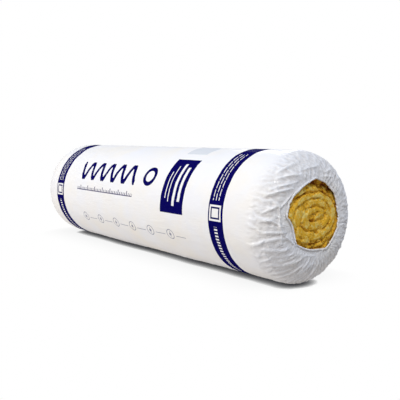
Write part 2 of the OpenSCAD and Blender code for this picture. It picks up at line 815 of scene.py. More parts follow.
@dataclass(frozen=True)
class WoolFinish:
    """Golden glass wool with browner patches and pale loose fibres, with painted shade in its creases and
    gaps and painted highlight on its crests.

    Attributes:
        golden: Main colour.
        pale: Colour of the lifted fibres, and the painted highlight on crests.
        brown_and_crease_shade: Colour of browner patches, and the painted shade in the creases.
        deep_gap_shadow: Painted shadow colour in the deepest gap.
        cover: Share of the pale and the brown colour where they are strongest.
    """

    golden: Colour = ink(245, 191, 55)
    pale: Colour = ink(255, 232, 138)
    brown_and_crease_shade: Colour = ink(164, 94, 14)
    deep_gap_shadow: Colour = ink(150, 82, 20)
    cover: float = 0.85

    def material(self) -> bpy.types.Material:
        """Builds the wool's material.

        Returns:
            The material.
        """
        made = bpy.data.materials.new("glass_wool")
        desk = NodeDesk(made)
        solid = desk.node("ShaderNodeTexCoord", {}, out="Object")
        hollow = desk.attribute("hollow")
        blotch = desk.noise(solid, 55.0, 4.0, 0.6)
        fibre = desk.noise(solid, 420.0, 5.0, 0.7)
        speck = desk.noise(solid, 150.0, 5.0, 0.7)
        grain = desk.noise(solid, 190.0, 5.0, 0.7)
        strand = desk.noise(desk.attribute("lay", "Vector"), 1.0, 4.0, 0.65)
        # Painted highlight: crests and random patches take the pale colour. Painted shade: creases and gaps
        # take the darker colour, and the deepest gap a painted shadow colour. The noise adds random tone.
        light = (blotch - 0.52) * 5.0 + (speck - 0.52) * 4.6 + (strand - 0.5) * 5.0 - hollow
        brown_and_shade_mask = hollow * 1.3 + (grain - 0.53) * 6.5 - (strand - 0.5) * 3.2 - (blotch - 0.5) * 2.2
        shade = desk.mix(light.held() * self.cover, self.golden, self.pale)
        shade = desk.mix(brown_and_shade_mask.held() * self.cover, shade, self.brown_and_crease_shade)
        shade = desk.mix((hollow * 2.5 - 1.4).held(), shade, self.deep_gap_shadow)
        height = fibre * 0.8 + speck + strand * 0.8
        bump = desk.node("ShaderNodeBump", {}, Strength=0.6, Distance=0.004, Height=height)
        surface = desk.node(
            "ShaderNodeBsdfPrincipled",
            {},
            Base_Color=shade,
            Roughness=0.95,
            Normal=bump,
            Specular_IOR_Level=0.15,
        )
        desk.close(surface)
        return made


@dataclass
class GatheredEnd:
    """Film drawn in over one end of the roll, relaxed as a sheet with spare width round the roll.

    Attributes:
        sizes: Sizes of the roll.
        mouth: Radius of the mouth for each column, in millimetres along the film.
        seeds: Folds that the film starts from.
        spare: Share of spare width that the film has round the roll, for each column.
        rows: Faces from the start of the shoulder to the mouth.
        over: Faces along the tube before the shoulder.
        rounds: Number of rounds of relaxing.
        step: Length of the faces along the tube, in millimetres.
        floor: Whether a floor presses the end flat.
        smooth_start: Length of the shoulder that stays smooth, in millimetres.
        seed: Number that fixes the first crumples.
        angle: Place of each point round the roll, in radians.
        path: Length along the film past the start of the shoulder, in millimetres.
        base: Place of each point on the plain outline, in millimetres from the middle of the roll.
        outward: Direction out of the roll at each point.
        points: Place of each point of the film, likewise.
        loose: How freely each point moves, from 0 to 1.
    """

    sizes: RollSizes
    mouth: np.ndarray
    seeds: list[Fold]
    spare: np.ndarray
    rows: int
    over: int
    rounds: int
    step: float = 2.6
    floor: bool = False
    smooth_start: float = 0.0
    seed: int = 5
    angle: np.ndarray = field(init=False)
    path: np.ndarray = field(init=False)
    base: np.ndarray = field(init=False)
    outward: np.ndarray = field(init=False)
    points: np.ndarray = field(init=False)
    loose: np.ndarray = field(init=False)

    def __post_init__(self) -> None:
        """Lays the film plainly over the end."""
        past = np.arange(-self.over, self.rows + 1)[:, None]
        reach = self.sizes.path_to(self.mouth)[None, :]
        self.path = np.where(past < 0, past * self.step, past / self.rows * reach)
        self.angle = np.broadcast_to(column_angles(len(self.mouth))[None, :], self.path.shape)
        radius, height, across, along = self.sizes.profile(self.path)
        sine, cosine = np.sin(self.angle), np.cos(self.angle)
        self.base = np.stack([-radius * sine, -radius * cosine, height], -1)
        self.outward = np.stack([-across * sine, -across * cosine, along], -1)
        self.loose = np.ones(self.path.shape)
        self.loose[:2] = 0.0
        self.loose[-1] = 0.02

    def places(self) -> np.ndarray:
        """Gives each point's place on the end laid flat, right and up as seen from outside."""
        far = self.sizes.flat + self.sizes.bend - self.path
        return np.stack([-far * np.cos(self.angle), far * np.sin(self.angle)], -1)

    def first_crumples(self) -> np.ndarray:
        """Gives the small unevenness and the folds that the film starts from.

        Returns:
            The lift at each point, in millimetres.
        """
        rough = np.abs(np.random.default_rng(self.seed).normal(0.0, 0.25, self.path.shape))
        for _ in range(6):
            rough = blur_along(blur(rough, 0.25), 0.3)
        flat = self.places().reshape(-1, 2)
        for fold in self.seeds:
            rough = rough + fold.lift(flat).reshape(self.path.shape)
        return rough

    def pull(self, first: tuple[Any, Any], second: tuple[Any, Any], rest: np.ndarray, firm: float) -> None:
        """Moves two sets of points towards their rest distance.

        Args:
            first: Rows and columns of the first set.
            second: Rows and columns of the second set.
            rest: Rest distance of each pair, in millimetres.
            firm: Share of the error that is taken out.
        """
        gap = self.points[second] - self.points[first]
        length = np.sqrt((gap * gap).sum(-1)) + 1e-9
        near, far = self.loose[first], self.loose[second]
        move = gap * (firm * (length - rest) / length / np.maximum(near + far, 1e-9))[..., None]
        self.points[first] += move * near[..., None]
        self.points[second] -= move * far[..., None]

    def pull_round(self, step: int, rest: np.ndarray, firm: float) -> None:
        """Pulls points that lie a number of columns apart round the roll.

        Args:
            step: Number of columns.
            rest: Rest distance from each point, in millimetres.
            firm: Share of the error that is taken out.
        """
        columns = self.path.shape[1]
        for start in range(2 * step):
            first = np.arange(start, columns, 2 * step)
            self.pull((slice(None), first), (slice(None), (first + step) % columns), rest[:, first], firm)

    def pull_along(self, step: int, rest: np.ndarray, firm: float) -> None:
        """Pulls points that lie a number of rows apart along the film.

        Args:
            step: Number of rows.
            rest: Rest distance from each point, in millimetres.
            firm: Share of the error that is taken out.
        """
        for start in range(2 * step):
            first = np.arange(start, self.path.shape[0] - step, 2 * step)
            self.pull((first,), (first + step,), rest[first], firm)

    def pull_across(self, rest: np.ndarray, firm: float) -> None:
        """Pulls points across the diagonals of the faces.

        Args:
            rest: Length of the diagonals, in millimetres.
            firm: Share of the error that is taken out.
        """
        columns = np.arange(self.path.shape[1])[None, :]
        for start in (0, 1):
            first = np.arange(start, self.path.shape[0] - 1, 2)[:, None]
            for side in (1, -1):
                second = (first + 1, (columns + side) % self.path.shape[1])
                self.pull((first, columns), second, rest[first[:, 0]], firm)

    def keep_out(self) -> None:
        """Pushes the film out of the wool, and off the floor where it stands on one."""
        across = np.hypot(self.points[..., 0], self.points[..., 1])
        side, up = across - self.sizes.flat, self.points[..., 2] - self.sizes.straight
        far = np.hypot(side, up)
        corner = (side > 0.0) & (up > 0.0)
        off = np.where(corner, far, np.maximum(side, up)) - self.sizes.shoulder
        out_side = np.where(corner, side / np.maximum(far, 1e-6), side > up)
        out_up = np.where(corner, up / np.maximum(far, 1e-6), side <= up)
        push = np.maximum(-off, 0.0)
        self.points[..., :2] *= (1.0 + push * out_side / np.maximum(across, 1e-6))[..., None]
        self.points[..., 2] += push * out_up
        if self.floor:
            self.points[..., 2] = np.minimum(self.points[..., 2], self.sizes.half)

    def relax(self) -> np.ndarray:
        """Lets the spare width of the film buckle into gathers.

        Returns:
            The points of the film, row by row, in millimetres from the middle of the roll.
        """
        self.points = self.base + self.outward * self.first_crumples()[..., None]
        # The film is smooth where it leaves the tube, taut at the mouth and uneven between.
        reach = self.path[-1:]
        taut = 0.12 + 0.88 * ease((reach - self.path - 6.0) / 36.0)
        begun = ease((self.path - self.smooth_start + 22.0) / 50.0)
        patchy = Crumple(self.seed + 70).sheet(round_share(self.angle), self.path / 45.0, 22)
        spare = self.spare[None, :] * begun * taut * (1.0 + 0.55 * patchy)
        width = np.linalg.norm(np.roll(self.base, -1, 1) - self.base, axis=-1) * (1.0 + spare)
        length = np.linalg.norm(self.base[1:] - self.base[:-1], axis=-1)
        slant = np.sqrt((0.5 * (width[1:] + width[:-1])) ** 2 + length**2)
        # Longer ties make the film stiff, so that it folds rather than crinkles.
        width_two = width + np.roll(width, -1, 1)
        width_four = width_two + np.roll(width_two, -2, 1)
        length_two = length[1:] + length[:-1]
        length_four = length_two[2:] + length_two[:-2]
        for _ in range(self.rounds):
            self.pull_round(1, width, 1.0)
            self.pull_along(1, length, 1.0)
            self.pull_across(slant, 0.3)
            self.pull_round(2, width_two, 0.4)
            self.pull_round(4, width_four, 0.26)
            self.pull_along(4, length_four, 0.3)
            self.pull_along(2, length_two, 0.5)
            self.keep_out()
        self.smooth(0.3)
        self.pinch(0.7)
        self.smooth(0.2)
        return self.points

    def stand(self, points: np.ndarray) -> np.ndarray:
        """Gives how far points of the film stand out from the plain outline, in millimetres."""
        return ((points - self.base) * self.outward).sum(-1)

    def crests(self, points: np.ndarray) -> np.ndarray:
        """Gives how far the film stands out from what lies around it.

        Args:
            points: Points of the film, row by row.

        Returns:
            0 in a valley to 1 on a crest.
        """
        lift = mean = self.stand(points)
        for _ in range(14):
            mean = blur_along(blur(mean, 0.3), 0.3)
        return np.clip(0.72 + (lift - mean) / 2.6, 0.0, 1.0)

    def crumples(self) -> np.ndarray:
        """Gives the small sharp-edged crumples of drawn film, in millimetres.

        Returns:
            The lift at each point.
        """
        around = round_share(self.angle)
        broad = Crumple(self.seed + 80).sheet(around + self.path / 2600.0, self.path / 40.0, 38)
        small = Crumple(self.seed + 81).sheet(around - self.path / 2000.0, self.path / 18.0, 86)
        front, top = np.cos(self.angle + 0.4), np.maximum(np.sin(self.angle), 0.0)
        drawn = ease((self.path - self.smooth_start + 12.0) / 45.0)
        lift = (0.35 - np.abs(broad)) * (1.8 - 0.3 * front + 1.0 * top)
        return (lift + (0.35 - np.abs(small)) * (1.8 - 0.4 * front + 0.5 * top)) * drawn

    def smooth(self, share: float) -> None:
        """Takes out unevenness of the size of one face.

        Args:
            share: How far each point moves to the mean of its neighbours.
        """
        inner = self.points[1:-1]
        mean = 0.25 * (np.roll(inner, 1, 1) + np.roll(inner, -1, 1) + self.points[:-2] + self.points[2:])
        self.points[1:-1] = (1.0 - share) * inner + share * mean

    def pinch(self, power: float) -> None:
        """Makes the gathers narrower at their crests, as thin film creases.

        Args:
            power: How much narrower they get.
        """
        lift = self.stand(self.points)
        crest = lift.copy()
        for _ in range(6):
            crest = np.maximum(crest, np.maximum(np.roll(crest, 1, 1), np.roll(crest, -1, 1)))
            crest[1:-1] = np.maximum(crest[1:-1], np.maximum(crest[:-2], crest[2:]))
        for _ in range(8):
            crest = blur(crest, 0.25)
        share = np.clip(lift / np.maximum(crest, 0.5), 0.0, 1.0)
        self.points += self.outward * (lift * (share**power - 1.0) * 0.9)[..., None]


@dataclass(frozen=True)
class FilmEnd:
    """The shaped film over one end, row by row from the tube to the curled edge.

    Attributes:
        points: Place of each point from the middle of the roll, in millimetres.
        path: Length along the film past the start of the shoulder, in millimetres.
        crest: How far each point stands out, from 0 in a valley to 1 on a crest.
        outward: Direction out of the roll at each point.
    """

    points: np.ndarray
    path: np.ndarray
    crest: np.ndarray
    outward: np.ndarray


@dataclass
class FilmSleeve:
    """The film: a tube round the roll, gathered over both ends, with a torn mouth on top.

    Attributes:
        sizes: Sizes shared with the wool.
        finish: Finish of the film.
        columns: Faces in one turn round the roll.
        lap: Faces by which the film laps over itself at the back.
        lap_step: Step of the outer layer there, in millimetres.
        tube_rows: Faces along the straight part between the gathered ends.
        top_rows: Faces over the top end, and along the tube before it.
        foot_rows: Faces over the foot, and along the tube before it.
        rounds: Rounds of relaxing.
        foot_smooth: Length of the foot's shoulder that stays smooth, in millimetres.
        lip_rows: Faces round the curled edge of a mouth.
        lip: Radius of that curl, in millimetres.
        lip_sweep: Angle through which the edge curls, out on top and in at the foot, in degrees.
        draw_back: How far the film stops short of the torn mouth, as shares of the plain curl and
            of the extra curl.
        foot_mouth: Radius of the mouth in the foot, in millimetres.
        flat_length: Length of the film laid flat, in metres. Not used.
        mouth: Torn mouth on the end laid flat, right and up as seen from outside, in millimetres.
    """

    sizes: RollSizes
    finish: FilmFinish
    columns: int = 480
    lap: int = 11
    lap_step: float = 0.8
    tube_rows: int = 52
    top_rows: tuple[int, int] = (70, 24)
    foot_rows: tuple[int, int] = (30, 8)
    rounds: int = 200
    quick_rounds: int = 30
    foot_smooth: float = 26.0
    lip_rows: int = 9
    lip: float = 2.0
    lip_sweep: float = 320.0
    draw_back: Place = (1.8, 0.8)
    foot_mouth: float = 72.0
    flat_length: float = 1.36
    mouth: tuple[Place, ...] = (
        (-10.4, 101.7),
        (25.7, 89.6),
        (61.8, 59.9),
        (72.0, 31.1),
        (80.1, -0.7),
        (74.5, -28.5),
        (57.6, -52.2),
        (31.9, -71.7),
        (-15.2, -70.0),
        (-44.3, -63.6),
        (-72.8, -50.6),
        (-77.4, -28.8),
        (-85.9, -4.0),
        (-105.5, 18.5),
        (-97.8, 46.8),
        (-83.2, 66.6),
        (-52.8, 85.8),
    )

    def mouth_radius(self, angle: np.ndarray) -> np.ndarray:
        """Gives the radius of the torn mouth.

        Args:
            angle: Place round the roll in radians from the front, upwards as it lies.

        Returns:
            The developed radius at each angle, in millimetres.
        """
        corners = np.asarray(self.mouth)
        turn = np.arctan2(corners[:, 1], -corners[:, 0])
        order = np.argsort(turn)
        turn, corners = turn[order], corners[order]
        turn = np.concatenate([turn[-1:] - 2 * np.pi, turn, turn[:1] + 2 * np.pi])
        corners = np.concatenate([corners[-1:], corners, corners[:1]])
        steps = np.linspace(-np.pi, np.pi, 721)
        right, up = (np.interp(steps, turn, corners[:, axis]) for axis in (0, 1))
        radius = np.hypot(right, up)[:-1]
        for _ in range(14):
            radius = blur(radius, 0.25)
        return np.interp(angle, steps, np.append(radius, radius[0]))

    def edge_curl(self, angle: np.ndarray) -> np.ndarray:
        """Gives the radius of the torn edge's curl, which is fuller at the upper left.

        Args:
            angle: Place round the roll, in radians.

        Returns:
            The radius at each place, in millimetres.
        """
        return self.lip * (1.0 + 0.7 * np.exp(-(((angle - 0.5) / 0.8) ** 2.0)))

    def spare_width(self, angle: np.ndarray) -> np.ndarray:
        """Gives the share of spare width that the film has over an end.

        Args:
            angle: Place round the roll in radians from the front, upwards as it lies.

        Returns:
            The share at each angle.
        """
        degrees = (-180, -150, -120, -90, -60, -30, 0, 30, 60, 90, 120, 150, 180)
        share = (0.044, 0.062, 0.064, 0.05, 0.06, 0.068, 0.066, 0.048, 0.032, 0.024, 0.028, 0.038, 0.044)
        return np.interp(np.degrees(angle), degrees, share)

    def sag(self, sheet: GatheredEnd) -> np.ndarray:
        """Gives how far the film dips towards the torn mouth, past a sharp bend.

        Args:
            sheet: The film over the top end.

        Returns:
            The dip of each point, in millimetres.
        """
        short = sheet.path[-1:] - sheet.path
        front = np.exp(-((np.abs(sheet.angle + 0.05) / 0.62) ** 4.0))
        uneven = Crumple(27).sheet(round_share(sheet.angle), sheet.path * 0.0, 9)
        reach = 17.0 + 19.0 * front + 3.0 * uneven
        return (2.5 + 4.5 * front) * np.clip(1.0 - short / reach, 0.0, 1.0)

    def seed_folds(self) -> list[Fold]:
        """Lists the larger folds of the top end that the gathers start from.

        Returns:
            The folds.
        """
        return [
            Fold((-180, 10), (-150, 14), 2.6, 2.6),
            Fold((-172, -23), (-128, -18), 3.0, 2.8),
            Fold((-173, -38), (-128, -35), 3.2, 2.6),
            Fold((-203, -69), (-158, -40), 2.6, 2.6),
            Fold((-160, -66), (-90, -62), 3.2, 3.0),
            Fold((-78, -126), (-34, -102), 3.0, 2.6),
            Fold((-55, -124), (-28, -98), 2.6, 2.2),
            Fold((28, -90), (92, -70), 2.2, 2.2),
            Fold((47, -81), (116, -4), 2.4, 2.4),
            Fold((57, 94), (95, 66), 2.6, 2.6),
            Fold((-68, 103), (2, 118), 2.8, 3.2),
        ]

    def creases(self) -> list[Fold]:
        """Lists the larger folds and the sharp creases that lie over the gathers.

        Returns:
            The folds and creases.
        """
        return [
            Fold((-166, 70), (-84, 84), 7.0, 6.5, 0.4),
            Fold((-152, 84), (-70, 98), 6.0, 5.5, 0.4),
            Fold((-132, 110), (-50, 116), 7.4, 7.5, 0.4),
            Fold((-126, 124), (-62, 148), 5.6, 6.5, 0.4),
            Fold((-178, 27), (-120, 48), 5.4, 4.8, 0.3),
            Fold((-186, 4), (-140, 14), 3.0, 3.4, 0.3),
            Fold((-110, -108), (-40, -84), 3.4, 4.0, 0.3),
            Fold((-70, -150), (-16, -104), 3.4, 4.4, 0.3),
            Fold((-20, -158), (10, -104), 3.0, 4.0, 0.3),
            Fold((-90, 71), (-134, 33), 4.8, 2.6),
            Fold((-129, 48), (-131, -18), 5.2, 2.8),
            Fold((-135, 6), (-109, -39), 4.8, 2.6),
            Fold((-119, -25), (-68, -63), 4.6, 2.6),
            Fold((-128, -6), (-121, -52), 3.6, 2.4),
            Fold((-64, 124), (14, 137), 3.8, 5.0, 0.3),
            Fold((12, 109), (64, 104), 3.4, 3.0),
            Fold((60, 110), (70, 62), 3.2, 2.6),
            Fold((22, 117), (62, 124), 3.6, 4.0, 0.3),
            Fold((54, 124), (102, 88), 3.6, 3.4, 0.3),
            Fold((-2, -90), (-52, -82), 2.8, 2.1),
            Fold((-2, -90), (44, -68), 2.8, 2.1),
            Fold((-2, -90), (20, -128), 3.0, 2.2),
            Fold((-2, -90), (-24, -118), 2.4, 2.1),
            Fold((92, -8), (34, -80), 2.4, 2.1),
            Fold((100, 26), (58, 88), 2.4, 2.1),
            Fold((96, 34), (128, 20), 2.2, 2.2),
        ]

    def tube_lift(self, angle: np.ndarray, height: np.ndarray) -> np.ndarray:
        """Gives the soft wrinkles of the straight part.

        Args:
            angle: Place round the roll, in radians.
            height: Place along the roll from its middle, in millimetres.

        Returns:
            The lift at each place, in millimetres.
        """
        around = round_share(angle)
        soft = Crumple(31).sheet(around, height / 190.0, 8) * 1.8
        drawn = Crumple(32).sheet(around + height / 2600.0, height / 110.0, 34) * 0.75
        ring = Crumple(33).sheet(around, height / 34.0, 9) * 0.35
        line = 1.0 - np.abs(Crumple(34).sheet(around - height / 1500.0, height / 160.0, 14))
        inner = np.clip((470.0 - np.abs(height)) / 70.0, 0.0, 1.0)
        return soft + drawn + ring + np.maximum(line - 0.93, 0.0) * 12.0 * inner

    def laid(self, end: End, curl: np.ndarray) -> GatheredEnd:
        """Lays the film plainly over one end.

        Args:
            end: Which end.
            curl: Radius of the edge's curl for each column, in millimetres.

        Returns:
            The film, ready to be relaxed.
        """
        turn = column_angles(self.columns)
        spare = self.spare_width(turn)
        rounds = self.rounds
        if end is End.TOP:
            plain, more = self.draw_back
            mouth = self.mouth_radius(turn) + plain * self.lip + more * (curl - self.lip)
            return GatheredEnd(self.sizes, mouth, self.seed_folds(), spare, *self.top_rows, rounds)
        mouth = self.foot_mouth + Crumple(23).sheet(round_share(turn), turn * 0.0, 16) * 4.0
        return GatheredEnd(
            self.sizes,
            mouth,
            [],
            spare,
            *self.foot_rows,
            rounds,
            floor=True,
            smooth_start=self.foot_smooth,
            seed=9,
        )

    def curled(self, points: np.ndarray, aside: np.ndarray, curl: np.ndarray) -> np.ndarray:
        """Gives the rows of a mouth's curled edge.

        Args:
            points: Points of the film, row by row up to the edge.
            aside: Direction in which the edge curls at each column.
            curl: Radius of the curl at each column, in millimetres.

        Returns:
            The points of the curled edge, row by row.
        """
        ahead = points[-1] - points[-4]
        ahead /= np.linalg.norm(ahead, axis=-1, keepdims=True)
        ahead, aside = ahead * curl[:, None], aside * curl[:, None]
        bends = np.radians(self.lip_sweep) * np.arange(1, self.lip_rows + 1) / self.lip_rows
        edge = points[-1]
        return np.stack([edge + ahead * np.sin(bend) + aside * (1.0 - np.cos(bend)) for bend in bends])

    def gathered(self, end: End) -> FilmEnd:
        """Makes the film over one end.

        Args:
            end: Which end.

        Returns:
            The shaped film.
        """
        sign = end.value
        curl = np.full(self.columns, self.lip)
        if end is End.TOP:
            curl = self.edge_curl(column_angles(self.columns))
        sheet = self.laid(end, curl)
        points = sheet.relax()
        calm = 0.3 * np.exp(-(((sheet.angle + 0.45) / 0.55) ** 2.0))
        points = points + sheet.outward * (sheet.crumples() - sheet.stand(points) * calm)[..., None]
        if end is End.FOOT:
            points[..., 2] = np.minimum(points[..., 2], self.sizes.half - self.lap_step)
        else:
            flat = sheet.places().reshape(-1, 2)
            for crease in self.creases():
                points = points + sheet.outward * crease.lift(flat).reshape(sheet.path.shape)[..., None]
            points = points - sheet.outward * self.sag(sheet)[..., None]
        soft = self.tube_lift(sheet.angle, sign * (self.sizes.straight + sheet.path))
        points = points + sheet.outward * (soft * ease(1.0 - sheet.path / 60.0))[..., None]
        # The crests set where the valleys get painted shade; the sagging facet and the last rows at the
        # edge are held back from it, so they stay bright.
        crest = sheet.crests(points)
        if end is End.TOP:
            crest = np.maximum(crest, 0.9 * np.clip(self.sag(sheet) / 3.0, 0.0, 1.0))
        crest[-2:] = 1.0
        edge = self.curled(points, sign * sheet.outward[-1], curl)
        row = np.minimum(np.arange(len(points) + self.lip_rows), len(points) - 1)
        mirror = np.array([1.0, 1.0, sign])
        points = np.concatenate([points, edge]) * mirror
        return FilmEnd(points, sheet.path[row], crest[row], sheet.outward[row] * mirror)

    def build(self) -> bpy.types.Object:
        """Makes the film.

        Returns:
            The finished piece.
        """
        sizes, straight = self.sizes, self.sizes.straight
        top, foot = self.gathered(End.TOP), self.gathered(End.FOOT)
        low, high = -straight - foot.path[0, 0], straight + top.path[0, 0]
        levels = np.linspace(low, high, self.tube_rows + 1)[1:-1]
        angle, level = np.meshgrid(column_angles(self.columns), levels)
        radius = sizes.radius + self.tube_lift(angle, level)
        side = np.stack([-np.sin(angle), -np.cos(angle), np.zeros(angle.shape)], -1)
        tube = side * radius[..., None] + np.array([0.0, 0.0, 1.0]) * level[..., None]
        sheet = np.concatenate([foot.points[::-1], tube, top.points])
        outward = np.concatenate([foot.outward[::-1], side, top.outward])
        stretch = np.concatenate([-straight - foot.path[::-1], level, straight + top.path])
        crest = np.concatenate([foot.crest[::-1], np.ones(level.shape), top.crest])
        piece, column, row = grid_piece("film_cover", self.columns + self.lap, len(sheet) - 1)
        outer = ease((column - self.columns + self.lap) / self.lap) * self.lap_step
        cell = (row, column % self.columns)
        points = sheet[cell] + outward[cell] * outer[:, None]
        points[:, 2] += sizes.half
        piece.data.vertices.foreach_set("co", (points * MM).ravel())
        far = stretch[cell]
        self.map_film(piece, column / self.columns, far / self.finish.span + 0.5)
        gather = ease((np.abs(far) - straight + 20.0) / 75.0)
        # The valley mask marks where the film's colour takes painted shade and the wool's tint, away from
        # the crests.
        for name, values in (("gather", gather), ("valley", gather * (1.0 - crest[cell]))):
            piece.data.attributes.new(name, "FLOAT", "POINT").data.foreach_set("value", values)
        close_piece(piece, 0.0)
        piece.data.update()
        return piece

    def map_film(self, piece: bpy.types.Object, across: np.ndarray, along: np.ndarray) -> None:
        """Writes the film's own map, which the print follows.

        Args:
            piece: The film.
            across: Place round the roll of each vertex, from 0 to 1.
            along: Place along the film of each vertex, from 0 to 1.
        """
        mesh = piece.data
        while mesh.uv_layers:
            mesh.uv_layers.remove(mesh.uv_layers[0])
        layer = mesh.uv_layers.new(name="film_map")
        corner = np.empty(len(mesh.loops), dtype=np.int32)
        mesh.loops.foreach_get("vertex_index", corner)
        layer.data.foreach_set("uv", np.column_stack([across[corner], along[corner]]).ravel())

    def dress(self, piece: bpy.types.Object) -> None:
        """Gives the film its material and its place in the frame.

        Args:
            piece: The film.
        """
        piece.data.materials.clear()
        piece.data.materials.append(self.finish.material())
        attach(piece, "root")
        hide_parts("film_sleeve")


@dataclass(frozen=True)
class WoolEnd:
    """How the turns lie on one end of the wool, right and up as seen from outside, in millimetres.

    Attributes:
        eye: Middle of the innermost turns.
        middle: Middle of the inner roll, which stands proud of the turns round it.
        squash: Factors right and up that make the oval inner roll round.
        rim: Radius of the inner roll made round.
        gap_way: Direction towards the deep gap beside the inner roll.
        gap_start: Distance in that direction at which the gap starts.
        seed: Number that fixes the lumps.
    """

    eye: Place
    middle: Place
    squash: Place
    rim: float
    gap_way: Place
    gap_start: float
    seed: int


@dataclass
class WoolRoll:
    """The wool: a mat wound on itself, with its turns bulging in the mouth of the film.

    Attributes:
        sizes: Sizes shared with the film.
        finish: Finish of the wool.
        film: The film that closes over the ends.
        columns: Faces round the roll.
        end_rows: Faces from the edge of the top end to its middle.
        foot_rows: Faces from the edge of the foot to its middle.
        tube_rows: Faces along the straight part.
        inset: Room between the wool and the film, in millimetres.
        end_room: Extra room past the shoulder, in millimetres.
        room_path: Length along the shoulder over which it grows, in millimetres.
        pitch: Thickness of one turn, in millimetres.
        low_gap: Height on the end under which the turns sink, and how far that takes to set in.
        top_end: How the turns lie on the top end.
        foot_end: How they lie on the foot.
    """

    sizes: RollSizes
    finish: WoolFinish
    film: FilmSleeve
    columns: int = 360
    end_rows: int = 118
    foot_rows: int = 60
    tube_rows: int = 24
    inset: float = 4.0
    end_room: float = 4.5
    room_path: float = 60.0
    pitch: float = 24.0
    low_gap: Place = (-44.0, 12.0)
    top_end: WoolEnd = WoolEnd((7.5, 13.3), (-12.0, 4.0), (0.8, 1.16), 70.0, (0.35, 0.94), 68.0, 41)
    foot_end: WoolEnd = WoolEnd((-4.0, 6.0), (0.0, 2.0), (1.04, 0.96), 52.0, (0.9, -0.44), 52.0, 61)

    def end_relief(self, places: np.ndarray, end: WoolEnd) -> tuple[np.ndarray, np.ndarray]:
        """Gives the height of a wool end above the end of the roll, and its mask of painted shade and
        highlight.

        Args:
            places: Places on the end, right and up as seen from outside, in millimetres.
            end: How the turns lie there.

        Returns:
            The height at each place, in millimetres, and the mask, from -1 where crests get painted
            highlight to 1 where creases and gaps get painted shade.
        """

        def noise(layer: int, cell: float) -> np.ndarray:
            """Noise of one layer at each place."""
            return Crumple(end.seed + layer).plane(places, cell)

        # The turns wind about the eye and settle about the middle of the inner roll.
        off = places - np.asarray(end.eye)
        settle = ease(np.hypot(off[:, 0], off[:, 1]) / end.rim)
        off = off - np.subtract(end.middle, end.eye) * settle[:, None]
        wander = np.column_stack([noise(0, 31.0), noise(1, 27.0)])
        off = off * np.asarray(end.squash) + wander * (8.5 - 5.0 * settle)[:, None]
        far = np.hypot(off[:, 0], off[:, 1])
        turn = np.arctan2(off[:, 1], off[:, 0])
        phase = far / self.pitch - turn / (2 * np.pi) + noise(2, 40.0) * 0.16
        edge = np.abs((phase % 1.0) - 0.5) * 2.0
        depth = np.clip(0.55 + 1.4 * noise(3, 30.0), 0.0, 1.3)
        turns = 7.4 * (1.0 - edge**2.2) * (0.4 + 0.6 * depth) - 3.6 * edge**6.0 * depth
        # The inner roll stands proud, with gaps beside it and below it.
        sunk = ease((places @ np.asarray(end.gap_way) - end.gap_start) / 14.0)
        sunk = np.maximum(sunk, 0.45 * ease((self.low_gap[0] - places[:, 1]) / self.low_gap[1]))
        proud = ease((end.rim + 5.0 - far) / 9.0)
        roll_edge = np.exp(-(((far - end.rim + 9.0) / 7.0) ** 2.0))
        roll_gap = np.exp(-(((far - end.rim - 5.0) / 3.6) ** 2.0))
        shape = -9.0 + 2.6 * proud - 7.0 * sunk * (1.0 - proud) + 1.6 * roll_edge - 2.6 * roll_gap
        # Lumps, thin layers and tufts lie over the turns.
        lumps = noise(4, 21.0) * 3.6 + noise(5, 11.0) * 2.2
        layers = Crumple(end.seed + 8).sheet(round_share(turn), far / 3.6, 11) * 0.9
        tufts = (0.3 - np.abs(noise(6, 7.5))) * 2.0 + (0.3 - np.abs(noise(7, 4.4))) * 1.3
        # Painted shade goes into the creases between turns, the gaps beside and below the inner roll and
        # between lumps; painted highlight goes onto lumps, tufts, layers and the inner roll's edge.
        hollow = 0.8 * edge**3.0 * depth - 0.16 * lumps - 0.3 * tufts - 0.35 * layers - 0.22
        hollow = hollow + 0.75 * sunk * (1.0 - proud) - 0.4 * roll_edge + 0.5 * roll_gap
        return shape + turns + lumps + layers + tufts, np.clip(hollow, -1.0, 1.0)

    def build(self) -> bpy.types.Object:
        """Makes the wool.

        Returns:
            The finished piece.
        """
        sizes = self.sizes
        rows = self.foot_rows + self.tube_rows + self.end_rows
        piece, column, row = grid_piece("wound_wool", self.columns, rows)
        angle = column_angles(self.columns)[column % self.columns]
        top_start = self.foot_rows + self.tube_rows
        top, foot = row > top_start, row < self.foot_rows
        share = np.where(top, (row - top_start) / self.end_rows, (self.foot_rows - row) / self.foot_rows)
        path = np.clip(share, 0.0, 1.0) * (sizes.bend + sizes.flat)
        radius, height, out_across, out_along = sizes.profile(path)
        level = (row - self.foot_rows) / self.tube_rows * 2 * sizes.straight - sizes.straight
        places = np.column_stack([-radius * np.cos(angle), radius * np.sin(angle)])
        relief, hollow = np.zeros(len(angle)), np.zeros(len(angle))
        relief[top], hollow[top] = self.end_relief(places[top], self.top_end)
        relief[foot], hollow[foot] = self.end_relief(places[foot], self.foot_end)
        # Under the film the relief keeps clear of it, most where the film sags.
        blend = ease((128.0 - radius) / 24.0)
        mouth = np.where(top, self.film.mouth_radius(angle), self.film.foot_mouth)
        under = ease((radius - mouth + 7.0) / 8.0)
        room = -6.0 - 5.5 * np.exp(-((np.abs(angle + 0.05) / 0.75) ** 4.0))
        relief = relief * (1.0 - under) + np.minimum(relief, room) * under
        inset = self.inset + self.end_room * ease(path / self.room_path)
        inset_height = height - inset * out_along
        settled = inset_height * (1.0 - blend) + (sizes.half + np.minimum(relief, -2.0)) * blend
        ends = top | foot
        radius = np.where(ends, radius - inset * out_across, sizes.radius - self.inset)
        settled = np.where(ends, np.where(foot, -settled, settled), level) + sizes.half
        points = np.column_stack([-radius * np.sin(angle), -radius * np.cos(angle), settled])
        piece.data.vertices.foreach_set("co", (points * MM).ravel())
